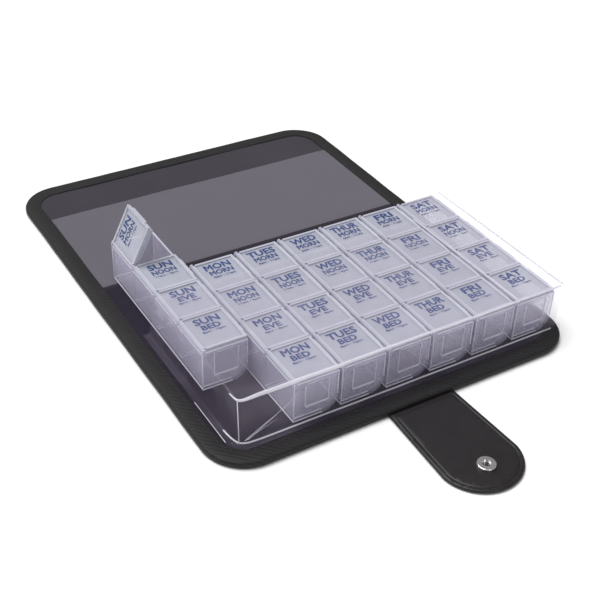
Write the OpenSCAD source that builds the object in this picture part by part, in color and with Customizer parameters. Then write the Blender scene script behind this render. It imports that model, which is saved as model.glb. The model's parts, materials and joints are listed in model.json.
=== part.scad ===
// Travel pill organizer: a soft wallet case, open flat, with seven four-compartment day trays
// standing side by side in a clear sleeve on its base panel. The first tray is pulled half out
// and its rearmost lid stands open. X runs across the case, +Y from the strap to the cover.

/* [Case] */
// Width of the case left of the first tray
left_margin = 19.2; // [12:0.2:30]
// Width of the case right of the last tray
right_margin = 6.8; // [4:0.2:30]
// Depth of the base panel in front of the trays
front_margin = 16.3; // [12:0.1:30]
// Depth of the base panel behind the trays
back_margin = 1.7; // [1:0.1:12]
// How far the closed cover stops short of the base's front edge
cover_short = 7.5; // [4:0.5:12]
// Radius of the four outer corners
corner_r = 24; // [12:1:40]

/* [Panel layers] */
// Thickness of the outer leatherette
shell_t = 1; // [0.6:0.1:2]
// Thickness of the stiffening board, and of the pad in the spine
board_t = 1.6; // [1:0.1:3]
// Distance from a panel's edge to its board
board_inset = 3; // [1:0.5:10]
// Distance from the rear fold to the cover's board
board_start = 12; // [2:0.5:16]
// Thickness of the lining
lining_t = 0.6; // [0.3:0.1:1.2]
// Thickness of the edge binding tape
binding_t = 0.6; // [0.3:0.1:1.2]
// Width of binding on each face
binding_w = 10; // [6:0.5:16]
// Gap between panels at a fold
fold_gap = 0.3; // [0.1:0.1:1]

/* [Clear vinyl] */
// Thickness of the sleeve's film
vinyl_t = 0.4; // [0.2:0.1:0.8]
// Gap between the trays and the sleeve's front wall
sleeve_front = 1.5; // [0.5:0.1:5]
// Gap between the outer trays and the sleeve's side walls
sleeve_side = 3.3; // [1:0.1:6]
// Headroom between the closed lids and the sleeve's top sheet
sleeve_head = 2.9; // [1:0.1:6]
// How far the trays stand out behind the sleeve's top sheet
sleeve_short = 21; // [10:1:50]
// How far the sheet over the last tray reaches past the rest
sleeve_tongue = 20; // [0:1:20]
// Lean of the side walls' rear edges, from top to bottom
sleeve_lean = 14; // [0:1:20]
// Width of the welded flange on the floor
flange_w = 4.2; // [2:0.1:6]
// Radius of the welded roll along the top front edge
weld_r = 1.1; // [0.5:0.1:2]
// Room between the sleeve and the closed cover
closing_gap = 2.9; // [1:0.1:10]
// Thickness of the flat pocket's film
pocket_t = 0.25; // [0.1:0.05:0.35]
// Depth of the flat pocket
pocket_d = 84; // [40:1:110]
// Distance from the rear fold to the flat pocket
pocket_start = 4; // [2:0.5:20]

/* [Trays] */
// Gap between a lid's thumb tab and the next tray
tray_gap = 1.05; // [0.8:0.05:3]
// Width of a tray
tray_w = 26.6; // [20:0.1:38]
// Length of a tray
tray_l = 117; // [90:0.5:150]
// Height of a tray with its lids closed
tray_h = 26.2; // [20:0.1:40]
// Thickness of the tray's walls and floor
wall_t = 1.1; // [0.8:0.1:2]
// Thickness of the partitions
partition_t = 1.2; // [0.8:0.1:2]
// Radius of the scoop along the tray's lower right edge
scoop_r = 9; // [4:0.5:14]
// Clearance under the trays
tray_lift = 0.4; // [0.3:0.1:1]
// Depth of the finger panel pressed into the tray's front wall
grip_depth = 0.4; // [0.2:0.05:0.6]
// Distance that the first tray is pulled out
pulled_out = 43.9; // [0:0.1:80]

/* [Lids] */
// Thickness of a lid's border
lid_t = 1.6; // [1.2:0.1:2.4]
// Depth of the panel sunk into a lid
lid_sink = 0.8; // [0.3:0.1:1.2]
// Width of the border at the hinge side of the sunk panel
lid_border = 2.2; // [1.5:0.1:4]
// Width of the border in front of the sunk panel
lid_front_border = 2; // [1.5:0.1:6]
// Width of the raised rim at a lid's right and rear edges
lid_rim = 1.5; // [1:0.1:3]
// Depth of the skirt that plugs the compartment
skirt_d = 2.6; // [1.5:0.1:5]
// Thickness of the skirt
skirt_t = 0.8; // [0.5:0.1:1.2]
// Gap between the skirt and the walls
skirt_gap = 0.45; // [0.3:0.05:0.8]
// How far the thumb tab stands out
tab_out = 0.85; // [0.4:0.05:0.9]
// Share of the lid's length that the thumb tab takes
tab_share = 0.6; // [0.3:0.05:0.9]
// Radius of the hinge barrel
barrel_r = 1.2; // [1:0.05:1.6]
// Radius of the hinge's stub pins
pin_r = 0.6; // [0.5:0.05:0.8]
// Radial clearance of the pins in the ears
pin_clearance = 0.08; // [0.05:0.01:0.1]
// Width of an ear between two lids
ear_w = 1.6; // [1.4:0.1:2.4]
// Angle at which the open lid stands
lid_open = 64; // [0:1:100]

/* [Strap] */
// Width of the strap at the case
strap_root_w = 42; // [30:0.5:60]
// Width of the strap at its round tip
strap_tip_w = 47; // [32:0.5:64]
// Thickness of the strap
strap_t = 2.4; // [1.8:0.1:4]
// Distance of the strap's middle from the case's middle
strap_x = 4.2; // [-20:0.1:20]
// Angle that the strap's first fold turns through
strap_lean = 104; // [90:1:105]
// Gap between the closed strap and the cover
strap_gap = 0.4; // [0.2:0.1:1]

/* [Snap] */
// Distance from the strap's second fold to the snap
snap_reach = 16; // [12:0.5:18]
// Distance from the snap to the strap's tip
snap_to_tip = 17; // [14:0.5:30]
// Outer radius of the socket
socket_r = 5; // [4:0.1:7]
// Height of the socket over the strap
socket_h = 1.6; // [1:0.1:1.8]
// Radius of the stud's post
stud_r = 2.2; // [1.5:0.1:3]
// Clearance of the post in the socket
stud_clearance = 0.1; // [0.05:0.01:0.2]
// Radius of the rivet's cap under the strap
cap_r = 6; // [5:0.1:8]
// Thickness of the cap and of the stud's and eyelet's flanges
flange_t = 0.5; // [0.3:0.1:0.6]

/* [Hidden] */
DAYS = ["sun", "mon", "tues", "wed", "thur", "fri", "sat"];
TIMES = ["bed", "eve", "noon", "morn"];
$fn = 64;
over = 1; // how far a cutting shape runs past what it cuts

// heights in the panels, from the table up
shell_z = binding_t;
board_z = shell_z + shell_t;
lining_z = board_z + board_t;
floor_z = lining_z + lining_t;
panel_t = floor_z + binding_t;

// heights of the trays, the sleeve over them and the closed cover
tray_z = floor_z + tray_lift;
sleeve_z = tray_z + tray_h + sleeve_head;
spine_d = sleeve_z + vinyl_t + closing_gap - panel_t;
closed_top = panel_t + spine_d + panel_t;

// the strap rises in front of the closed case, and its second fold then turns it onto the cover
strap_drop = strap_t - panel_t;
rise = (closed_top + strap_gap - panel_t - strap_drop * cos(strap_lean)) / sin(strap_lean);
lean_in = strap_drop * sin(strap_lean) - rise * cos(strap_lean);
strap_l = rise + snap_reach + snap_to_tip;

// places along X and Y: the origin is in the middle of the open case and strap
tray_pitch = tray_w + tab_out + tray_gap;
case_w = left_margin + len(DAYS) * tray_pitch + right_margin;
base_d = front_margin + tray_l + back_margin;
cover_d = base_d - cover_short;
case_front = strap_l - (strap_l + base_d + spine_d + cover_d) / 2;
front_fold = case_front + base_d;
rear_fold = front_fold + spine_d;
tray_x = -case_w / 2 + left_margin;
tray_y = case_front + front_margin;

// lids: the hinge axis lies in the tray's upper left edge
rim_gap = 0.15;
rim_z = tray_h - lid_t - rim_gap;
hinge_in = barrel_r + 0.1;
hinge_z = tray_h - hinge_in;
lid_start = 0.9;
lid_pitch = (tray_l - 2 * lid_start) / len(TIMES);
lid_gap = 0.4;
lid_under = hinge_in - lid_t;
plate_x = hinge_in + 0.3;
barrel_gap = 0.2;
ear_foot = 3;
tab_t = 1.2;

// the front wall's finger panel, as shares of the tray's width and height
grip_x = [0.27, 0.77];
grip_z = [0.3, 0.86];

// the snap
snap_y = case_front - rise - snap_reach;
stud_y = rear_fold + base_d - lean_in - snap_reach;
dimple_r = socket_r + 0.4;
dimple_z = shell_z + socket_h + 0.2;
stud_foot = 0.3;
lip_r = 0.6;

// One flat layer of a panel
module layer(z, t) {
    translate([0, 0, z]) linear_extrude(t) children();
}

// Extrudes an outline drawn in X and Z along Y
module along_y(y, length) {
    translate([0, y + length, 0]) rotate([90, 0, 0]) linear_extrude(length) children();
}

// Outline of a panel from a fold at y = 0 to a free edge at y = d with two round corners
module panel_outline(d, inset = 0, start = fold_gap / 2) {
    side = case_w / 2 - inset;
    corner_x = case_w / 2 - corner_r;
    translate([-side, start]) square([2 * side, d - corner_r - start]);
    translate([-corner_x, start]) square([2 * corner_x, d - inset - start]);
    for (s = [-1, 1]) translate([s * corner_x, d - corner_r]) circle(corner_r - inset);
}

// The tape folded round a panel's free edges: a U in section
module panel_binding(d) {
    difference() {
        layer(0, panel_t) panel_outline(d);
        layer(-over, panel_t + 2 * over) panel_outline(d, binding_w, -over);
        layer(shell_z, floor_z - shell_z) panel_outline(d, binding_t, -over);
    }
}

module place_base() {
    translate([0, front_fold, 0]) mirror([0, 1, 0]) children();
}

module place_cover() {
    translate([0, rear_fold, 0]) children();
}

module base_shell() {
    color("#2b2629") place_base() layer(shell_z, shell_t) panel_outline(base_d, binding_t);
}

module base_board() {
    color("#6b6358") place_base()
        layer(board_z, board_t) panel_outline(base_d, board_inset, board_inset);
}

module base_lining() {
    color("#3b3345") place_base() layer(lining_z, lining_t) panel_outline(base_d, binding_t);
}

module base_binding() {
    color("#1f1b1d") place_base() panel_binding(base_d);
}

// The spine's outline, from just past one fold to just short of the other
module spine_outline(inset = 0, start = fold_gap / 2) {
    translate([-case_w / 2 + inset, front_fold + start])
        square([case_w - 2 * inset, spine_d - 2 * start]);
}

module spine_shell() {
    color("#2b2629") layer(shell_z, shell_t) spine_outline(binding_t);
}

module spine_pad() {
    color("#6b6358") layer(board_z, board_t) spine_outline(board_inset);
}

module spine_lining() {
    color("#48444b") layer(lining_z, lining_t) spine_outline(binding_t);
}

module spine_binding() {
    color("#1f1b1d") difference() {
        layer(0, panel_t) spine_outline();
        layer(-over, panel_t + 2 * over) spine_outline(binding_w, -over);
        layer(shell_z, floor_z - shell_z) spine_outline(binding_t, -over);
    }
}

// A round hole or disc centred on the cover's snap
module at_stud(z, r, h) {
    translate([strap_x, stud_y, z]) cylinder(r = r, h = h);
}

// The hollow that takes the closed socket, so that the stud stays above the table
module dimple() {
    at_stud(-over, dimple_r, dimple_z + over);
}

module cover_shell() {
    color("#2b2629") difference() {
        place_cover() layer(shell_z, shell_t) panel_outline(cover_d, binding_t);
        dimple();
    }
}

module cover_board() {
    color("#6b6358") difference() {
        place_cover() layer(board_z, board_t) panel_outline(cover_d, board_inset, board_start);
        dimple();
        at_stud(0, stud_r / 2, lining_z + over);
        at_stud(lining_z - flange_t, stud_r * 2, flange_t + over);
    }
}

module cover_lining() {
    color("#48444b") place_cover() layer(lining_z, lining_t) panel_outline(cover_d, binding_t);
}

module cover_binding() {
    color("#1f1b1d") place_cover() panel_binding(cover_d);
}

// A flat film between the bindings of the cover's two sides, open at the rear
module flat_pocket() {
    color("#8d8a94", 0.5)
        translate([-case_w / 2 + binding_w, rear_fold + pocket_start, floor_z])
            cube([case_w - 2 * binding_w, pocket_d, pocket_t]);
}

// The sleeve's footprint grown outwards; the rear edge is where the trays slide in
module sleeve_outline(grow = 0, rear = front_fold - over) {
    left = tray_x - sleeve_side - grow;
    right = tray_x + len(DAYS) * tray_pitch + sleeve_side + grow;
    front = tray_y - sleeve_front - grow;
    translate([left, front]) square([right - left, rear - front]);
}

// What lies in front of the side walls' leaning rear edges, below a height
module sleeve_side_view() {
    top_y = tray_y + tray_l - sleeve_short;
    rotate([90, 0, 90])
        translate([0, 0, -case_w])
            linear_extrude(2 * case_w)
                polygon([[case_front, 0], [top_y + sleeve_lean, 0], [top_y + sleeve_lean, panel_t],
                         [top_y, sleeve_z], [case_front, sleeve_z]]);
}

// Front and side walls, the flange that welds them to the floor, and the roll at the top
module sleeve_walls() {
    left = tray_x - sleeve_side - vinyl_t;
    right = tray_x + len(DAYS) * tray_pitch + sleeve_side + vinyl_t;
    color("#c9c6d2", 0.35) {
        intersection() {
            layer(panel_t, sleeve_z - panel_t) difference() {
                sleeve_outline(vinyl_t);
                sleeve_outline(0, front_fold);
            }
            sleeve_side_view();
        }
        intersection() {
            layer(floor_z, panel_t - floor_z) difference() {
                sleeve_outline(flange_w);
                sleeve_outline(0, front_fold);
            }
            place_base() layer(0, sleeve_z) panel_outline(base_d, binding_w, 0);
            sleeve_side_view();
        }
        translate([left, tray_y - sleeve_front - vinyl_t / 2, sleeve_z - weld_r])
            rotate([0, 90, 0]) cylinder(r = weld_r, h = right - left);
    }
}

// The top sheet, with a tongue over the last tray
module sleeve_top() {
    left = tray_x - sleeve_side - vinyl_t;
    right = tray_x + len(DAYS) * tray_pitch + sleeve_side + vinyl_t;
    front = tray_y - sleeve_front - vinyl_t;
    rear = tray_y + tray_l - sleeve_short;
    tongue_x = tray_x + (len(DAYS) - 1) * tray_pitch;
    color("#c9c6d2", 0.35) layer(sleeve_z, vinyl_t)
        polygon([[left, front], [right, front], [right, rear + sleeve_tongue],
                 [tongue_x + sleeve_side, rear + sleeve_tongue], [tongue_x, rear], [left, rear]]);
}

// A tray's section in X and Z, shrunk by its wall: square at the left, scooped at the lower right
module tray_section(inset, top) {
    w = tray_w - 2 * inset;
    r = scoop_r - inset;
    translate([inset, inset]) {
        square([w - r, top - inset]);
        translate([0, r]) square([w, top - inset - r]);
        translate([w - r, r]) circle(r);
    }
}

// Where the boundary before lid k lies along the tray
function boundary(k) = lid_start + k * lid_pitch;

module tray_shape() {
    last = len(TIMES) - 1;
    difference() {
        union() {
            along_y(0, tray_l) tray_section(0, rim_z);
            for (k = [0 : last + 1]) along_y(boundary(k) - ear_w / 2, ear_w) {
                translate([hinge_in, hinge_z]) circle(hinge_in);
                translate([0, rim_z - ear_foot]) square([2 * hinge_in, hinge_z - rim_z + ear_foot]);
            }
        }
        for (k = [0 : last]) {
            front = k == 0 ? wall_t : boundary(k) + partition_t / 2;
            rear = k == last ? tray_l - wall_t : boundary(k + 1) - partition_t / 2;
            difference() {
                along_y(front, rear - front) tray_section(wall_t, tray_h + over);
                ear_corners(k);
                ear_corners(k + 1);
            }
            translate([-over, boundary(k) + ear_w / 2, hinge_z - barrel_r - barrel_gap])
                cube([over + 2 * hinge_in, lid_pitch - ear_w, tray_h]);
        }
        translate([hinge_in, -over, hinge_z])
            rotate([-90, 0, 0]) cylinder(r = pin_r + pin_clearance, h = tray_l + 2 * over);
        translate([tray_w * grip_x[0], -over, tray_h * grip_z[0]])
            cube([tray_w * (grip_x[1] - grip_x[0]), over + grip_depth,
                  tray_h * (grip_z[1] - grip_z[0])]);
    }
}

// The stretch of a compartment's upper left corner that an ear fills
module ear_corners(k) {
    translate([0, boundary(k) - ear_w / 2, rim_z - ear_foot])
        cube([2 * hinge_in, ear_w, ear_foot + tray_h]);
}

// A closed lid, from its hinge axis and its front boundary
module lid_shape() {
    right = tray_w - hinge_in;
    barrel_y = ear_w / 2 + lid_gap / 2;
    barrel_l = lid_pitch - 2 * barrel_y;
    pin_l = ear_w / 2 + lid_gap / 4;
    tab_l = lid_pitch * tab_share;
    difference() {
        union() {
            translate([plate_x, lid_gap / 2, lid_under])
                cube([right - plate_x, lid_pitch - lid_gap, lid_t]);
            translate([0, barrel_y, lid_under]) cube([plate_x + over, barrel_l, barrel_r - lid_under]);
            along_y(barrel_y, barrel_l) circle(barrel_r);
            along_y(barrel_y - pin_l, barrel_l + 2 * pin_l) circle(pin_r);
            translate([right - over, (lid_pitch - tab_l) / 2, lid_under])
                cube([over + tab_out, tab_l, tab_t]);
        }
        translate([lid_border - hinge_in, lid_front_border, hinge_in - lid_sink])
            cube([tray_w - lid_border - lid_rim, lid_pitch - lid_front_border - lid_rim, lid_sink + over]);
    }
    skirt_y = partition_t / 2 + skirt_gap;
    skirt_right = tray_w - hinge_in - wall_t - skirt_gap;
    difference() {
        translate([plate_x, skirt_y, lid_under - skirt_d])
            cube([skirt_right - plate_x, lid_pitch - 2 * skirt_y, skirt_d]);
        translate([plate_x + skirt_t, skirt_y + skirt_t, lid_under - skirt_d - over])
            cube([skirt_right - plate_x - 2 * skirt_t, lid_pitch - 2 * (skirt_y + skirt_t), skirt_d + over]);
    }
}

// Puts a piece in day k's place: the first tray is the one pulled out
module place_tray(day) {
    side = (tray_pitch - tray_w - tab_out) / 2;
    translate([tray_x + day * tray_pitch + side, tray_y + (day == 0 ? pulled_out : 0), tray_z])
        children();
}

module day_tray(day) {
    color("#c8cad8", 0.7) place_tray(day) tray_shape();
}

module day_lid(day, time) {
    stands_open = day == 0 && time == len(TIMES) - 1;
    color("#d2d4e0", 0.7) place_tray(day)
        translate([hinge_in, boundary(time), hinge_z])
            rotate([0, stands_open ? -lid_open : 0, 0]) lid_shape();
}

// The strap's outline: it widens towards a half-round tip
module strap_outline() {
    tip_r = strap_tip_w / 2;
    tip_y = case_front - strap_l + tip_r;
    translate([strap_x, 0]) {
        polygon([[-strap_root_w / 2, case_front], [strap_root_w / 2, case_front],
                 [tip_r, tip_y], [-tip_r, tip_y]]);
        translate([0, tip_y]) circle(tip_r);
    }
}

// The stretch of the strap between two distances from the case
module strap_between(from, to) {
    intersection() {
        layer(0, strap_t) strap_outline();
        translate([-case_w / 2, case_front - to, -over]) cube([case_w, to - from, strap_t + 2 * over]);
    }
}

module strap_root() {
    color("#2b2629") strap_between(fold_gap / 2, rise - fold_gap / 2);
}

module at_snap(z, r, h) {
    translate([strap_x, snap_y, z]) cylinder(r = r, h = h);
}

module strap_tip() {
    color("#2b2629") difference() {
        strap_between(rise + fold_gap / 2, strap_l + over);
        at_snap(-over, cap_r, over + flange_t);
        at_snap(0, stud_r + lip_r, strap_t + over);
    }
}

// The socket's ring with its rolled lip
module snap_socket() {
    color("#c9c9cc") difference() {
        union() {
            at_snap(strap_t, socket_r, socket_h - lip_r);
            at_snap(strap_t, socket_r - lip_r, socket_h);
            translate([strap_x, snap_y, strap_t + socket_h - lip_r])
                rotate_extrude() translate([socket_r - lip_r, 0]) circle(lip_r);
        }
        at_snap(strap_t - over, stud_r + stud_clearance, socket_h + 2 * over);
    }
}

// The rivet's cap under the strap, with its shank
module snap_cap() {
    color("#c9c9cc") {
        at_snap(0, cap_r, flange_t);
        at_snap(0, stud_r + lip_r, strap_t);
    }
}

// The stud on the cover's outer face, in its dimple
module snap_stud() {
    color("#c9c9cc") {
        at_stud(dimple_z - flange_t, stud_r * 2, flange_t);
        at_stud(stud_foot, stud_r, dimple_z - stud_foot);
        at_stud(stud_foot, stud_r / 2, lining_z - flange_t - stud_foot);
    }
}

// The eyelet that holds the stud, under the cover's lining
module snap_eyelet() {
    color("#c9c9cc") at_stud(lining_z - flange_t, stud_r * 2, flange_t);
}

base_shell();
base_board();
base_lining();
base_binding();
sleeve_walls();
sleeve_top();
spine_shell();
spine_pad();
spine_lining();
spine_binding();
cover_shell();
cover_board();
cover_lining();
cover_binding();
flat_pocket();
snap_stud();
snap_eyelet();
strap_root();
strap_tip();
snap_socket();
snap_cap();
for (day = [0 : len(DAYS) - 1]) {
    day_tray(day);
    for (time = [0 : len(TIMES) - 1])
        day_lid(day, time);
}
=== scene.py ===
"""Travel pill organizer: a soft wallet case lying open, with seven day trays in a clear vinyl sleeve
on its base panel, a flat film pocket on its cover and a snap strap at its front edge."""

import json
import math

import bmesh
import bpy
from mathutils import Matrix, Vector, noise


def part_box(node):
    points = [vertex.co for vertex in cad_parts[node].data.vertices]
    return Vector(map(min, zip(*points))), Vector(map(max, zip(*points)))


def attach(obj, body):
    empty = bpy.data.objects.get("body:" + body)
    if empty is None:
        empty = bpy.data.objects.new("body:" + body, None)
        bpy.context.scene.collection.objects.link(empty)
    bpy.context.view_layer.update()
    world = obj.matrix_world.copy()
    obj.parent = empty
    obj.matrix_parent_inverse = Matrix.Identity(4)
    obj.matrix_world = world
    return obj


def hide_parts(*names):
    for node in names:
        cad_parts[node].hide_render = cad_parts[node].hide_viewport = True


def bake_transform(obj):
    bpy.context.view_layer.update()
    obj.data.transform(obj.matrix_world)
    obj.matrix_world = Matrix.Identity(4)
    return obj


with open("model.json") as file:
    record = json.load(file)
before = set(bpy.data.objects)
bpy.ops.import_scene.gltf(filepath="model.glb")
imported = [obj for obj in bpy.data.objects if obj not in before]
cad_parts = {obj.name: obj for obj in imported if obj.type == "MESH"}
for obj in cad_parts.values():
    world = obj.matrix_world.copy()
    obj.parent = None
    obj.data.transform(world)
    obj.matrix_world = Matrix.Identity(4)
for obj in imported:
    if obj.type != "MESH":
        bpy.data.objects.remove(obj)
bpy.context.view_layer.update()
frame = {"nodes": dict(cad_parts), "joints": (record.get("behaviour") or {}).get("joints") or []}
scene = bpy.context.scene
MM = 0.001

# ---- Camera, floor and light ----
# The case lies on a plain white table in a bright room, seen from above its left front corner.
# Broad daylight falls from above the cover, and a soft lamp stands low at the front.
aim = Vector((-7.07, -6.55, 4.2)) * MM
distance = 642.3 * MM
azimuth, elevation, roll = (math.radians(a) for a in (-32.31, 36.02, 2.42))
back = Vector(
    (
        math.sin(azimuth) * math.cos(elevation),
        -math.cos(azimuth) * math.cos(elevation),
        math.sin(elevation),
    )
)
level = (-back).cross(Vector((0, 0, 1))).normalized()
upright = level.cross(-back)
right = level * math.cos(roll) + upright * math.sin(roll)
up = upright * math.cos(roll) - level * math.sin(roll)
camera_data = bpy.data.cameras.new("camera")
camera_data.sensor_width = 36
camera_data.lens = 66.06
camera_data.clip_start = 0.01
camera = bpy.data.objects.new("camera", camera_data)
camera.matrix_world = (
    Matrix.Translation(aim + back * distance)
    @ Matrix((right, up, back)).transposed().to_4x4()
)
scene.collection.objects.link(camera)
scene.camera = camera


def lamp(name, kind, place, power, **settings):
    """A soft lamp that faces the middle of the case."""
    data = bpy.data.lights.new(name, kind)
    data.energy = power
    for key, value in settings.items():
        setattr(data, key, value)
    lit = bpy.data.objects.new(name, data)
    place = Vector(place)
    lit.matrix_world = Matrix.Translation(place) @ (
        place.to_track_quat("Z", "Y").to_matrix().to_4x4()
    )
    scene.collection.objects.link(lit)


lamp("ceiling_light", "SUN", (-0.3, 0.3, 1), 3.0, angle=math.radians(50))
lamp("front_lamp", "AREA", (0.1, -1.0, 0.7), 1.6, size=0.4)
scene.world = bpy.data.worlds.new("room")
scene.world.use_nodes = True
room = scene.world.node_tree.nodes["Background"]
room.inputs["Color"].default_value = (1, 1, 1, 1)
room.inputs["Strength"].default_value = 0.3
scene.view_settings.view_transform = "Standard"
scene.cycles.transparent_max_bounces = 64
scene.cycles.max_bounces = 10


def new_finish(name, colour, roughness):
    """A material of one shader, and the shader."""
    finish = bpy.data.materials.new(name)
    finish.use_nodes = True
    shader = finish.node_tree.nodes["Principled BSDF"]
    shader.inputs["Base Color"].default_value = (*colour, 1)
    shader.inputs["Roughness"].default_value = roughness
    return finish, shader


def made_piece(bm, name, finish, sharp=40):
    """A piece from its finished mesh, smooth except across edges sharper than this angle."""
    mesh = bpy.data.meshes.new(name)
    bm.to_mesh(mesh)
    bm.free()
    mesh.materials.append(finish)
    mesh.shade_smooth()
    mesh.set_sharp_from_angle(angle=math.radians(sharp))
    piece = bpy.data.objects.new(name, mesh)
    scene.collection.objects.link(piece)
    return piece


table_reach = 20
table_gap = 0.1 * MM
floor_bm = bmesh.new()
bmesh.ops.create_grid(floor_bm, x_segments=2, y_segments=2, size=table_reach)
bmesh.ops.translate(floor_bm, verts=floor_bm.verts, vec=(0, 0, -table_gap))
table_white, _ = new_finish("table_white", (0.93, 0.93, 0.93), 0.9)
made_piece(floor_bm, "table_top", table_white)

# ---- Outer leatherette ----
# The wallet's outside is one sheet of thin black leatherette with a fine pebble grain, slightly
# puffed over the boards. It is made as a front and a rear half that meet in the spine's middle.
case_low, case_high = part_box("base_binding")
cover_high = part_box("cover_binding")[1]
half_width = case_high.x
panel_top = case_high.z
corner_radius = 24 * MM
pivots = {j["name"]: Vector(j["pos_m"]) for j in frame["joints"] if "pos_m" in j}
front_fold = pivots["spine_fold"].y
rear_fold = pivots["cover_fold"].y
seam = (front_fold + rear_fold) / 2
front_edge, rear_edge = case_low.y, cover_high.y
free_edges = {"front": front_edge, "rear": rear_edge}
stretches = {"front": ("base", "spine"), "rear": ("cover",)}
skin_inset = 1.2 * MM


def node(finish, kind, inputs, **settings):
    """Adds a node: each input takes a value, or a link where a socket is given."""
    made = finish.node_tree.nodes.new("ShaderNode" + kind)
    for key, value in settings.items():
        setattr(made, key, value)
    for key, value in inputs.items():
        if isinstance(value, bpy.types.NodeSocket):
            finish.node_tree.links.new(value, made.inputs[key])
        else:
            made.inputs[key].default_value = value
    return made


def feed(finish, socket, shader, key):
    """Links a socket to one of the shader's inputs."""
    finish.node_tree.links.new(socket, shader.inputs[key])


def place_on(finish):
    """The coordinates of the piece itself, in metres."""
    return node(finish, "TexCoord", {}).outputs["Object"]


def mottle(finish, scale, detail):
    """A soft, irregular variation over the piece."""
    inputs = {"Vector": place_on(finish), "Scale": scale, "Detail": detail}
    return node(finish, "TexNoise", inputs).outputs["Fac"]


def spread(finish, value, low, high, start=0.0, end=1.0):
    """Maps a value that runs from start to end onto the range from low to high."""
    inputs = {"Value": value, "From Min": start, "From Max": end}
    inputs.update({"To Min": low, "To Max": high})
    return node(finish, "MapRange", inputs).outputs[0]


def two_tones(finish, value, dark, light):
    """A colour that runs from a dark tone to a light one."""
    ramp = node(finish, "ValToRGB", {"Fac": value})
    ramp.color_ramp.elements[0].color = (*dark, 1)
    ramp.color_ramp.elements[1].color = (*light, 1)
    return ramp.outputs[0]


def emboss(finish, shader, height, strength, depth):
    """A fine relief in the surface."""
    inputs = {"Height": height, "Strength": strength, "Distance": depth}
    feed(finish, node(finish, "Bump", inputs).outputs[0], shader, "Normal")


black_leatherette, shader = new_finish(
    "black_leatherette", (0.023, 0.02, 0.0215), 0.42
)
shader.inputs["Specular IOR Level"].default_value = 0.35
pebbles = node(
    black_leatherette,
    "TexVoronoi",
    {"Vector": place_on(black_leatherette), "Scale": 1500.0},
    feature="SMOOTH_F1",
)
creases = mottle(black_leatherette, 180.0, 4.0)
relief = node(
    black_leatherette,
    "Math",
    {0: pebbles.outputs["Distance"], 1: creases},
    operation="ADD",
)
emboss(black_leatherette, shader, relief.outputs[0], 0.35, 0.12 * MM)
worn = two_tones(
    black_leatherette, creases, (0.009, 0.0075, 0.0085), (0.016, 0.0135, 0.015)
)
feed(black_leatherette, worn, shader, "Base Color")
gloss = spread(black_leatherette, creases, 0.34, 0.52)
feed(black_leatherette, gloss, shader, "Roughness")


def verts_of(geom):
    return [g for g in geom if isinstance(g, bmesh.types.BMVert)]


def edges_of(geom):
    return [g for g in geom if isinstance(g, bmesh.types.BMEdge)]


def everything(bm):
    return bm.verts[:] + bm.edges[:] + bm.faces[:]


def share(amount):
    """An amount held between nothing, 0, and all, 1."""
    return max(0.0, min(1.0, amount))


def panel_face(bm, free_edge):
    """One flat face: the case from the spine's middle to a free edge with two round corners."""
    side = half_width - skin_inset
    edge = free_edge + (skin_inset if free_edge < seam else -skin_inset)
    bmesh.ops.create_grid(bm, x_segments=1, y_segments=1, size=1)
    bmesh.ops.scale(bm, verts=bm.verts, vec=(side, (edge - seam) / 2, 1))
    bmesh.ops.translate(bm, verts=bm.verts, vec=(0, (edge + seam) / 2, 0))
    corners = [v for v in bm.verts if abs(v.co.y - edge) < MM]
    bmesh.ops.bevel(
        bm,
        geom=corners,
        affect="VERTICES",
        offset=corner_radius - skin_inset,
        segments=20,
        profile=0.5,
        material=-1,
    )


def cut_across(bm, axis, start, end, step):
    """Cuts every face at even steps along an axis, so that the sheet can wave and bend."""
    normal = [0, 0, 0]
    normal[axis] = 1
    count = max(1, round((end - start) / step))
    for k in range(1, count):
        at_cut = [0, 0, 0]
        at_cut[axis] = start + (end - start) * k / count
        bmesh.ops.bisect_plane(
            bm,
            geom=everything(bm),
            plane_co=at_cut,
            plane_no=normal,
            dist=1e-7,
        )


def bend_with_case(piece):
    """Bakes a piece's placement into its mesh."""
    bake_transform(piece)


def replace_layer(half, layer):
    """A half stands for the stretches of its layer that it covers."""
    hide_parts(*(f"{stretch}_{layer}" for stretch in stretches[half]))


def sheet_half(name, half, step, low, high, finish, wave):
    """Half of a sheet of the case between two heights; wave lifts its face at a point."""
    free_edge = free_edges[half]
    bm = bmesh.new()
    panel_face(bm, free_edge)
    cut_across(bm, 0, -half_width, half_width, step)
    cut_across(bm, 1, min(free_edge, seam), max(free_edge, seam), step)
    other = bmesh.ops.extrude_face_region(bm, geom=bm.faces[:])["geom"]
    upper = verts_of(other)
    lower = set(bm.verts) - set(upper)
    for v in upper:
        v.co.z = high + wave(v.co.x, v.co.y, 1)
    for v in lower:
        v.co.z = low + wave(v.co.x, v.co.y, -1)
    bmesh.ops.recalc_face_normals(bm, faces=bm.faces)
    return made_piece(bm, f"{name}_{half}", finish)


def rim_fall(x, y, reach):
    """How far a point is from the case's outline, from 0 at the outline to 1 at a reach."""
    near = min(half_width - abs(x), y - front_edge, rear_edge - y)
    t = share(near / reach)
    return t * t * (3 - 2 * t)


shell_low, shell_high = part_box("base_shell")
stud = sum(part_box("snap_stud"), Vector()) / 2
dimple_floor = 2.4 * MM
dimple_radius = 7.4 * MM
dimple_slope = 2 * MM
shell_thickness = 0.5 * MM
puff_reach = 26 * MM


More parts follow.
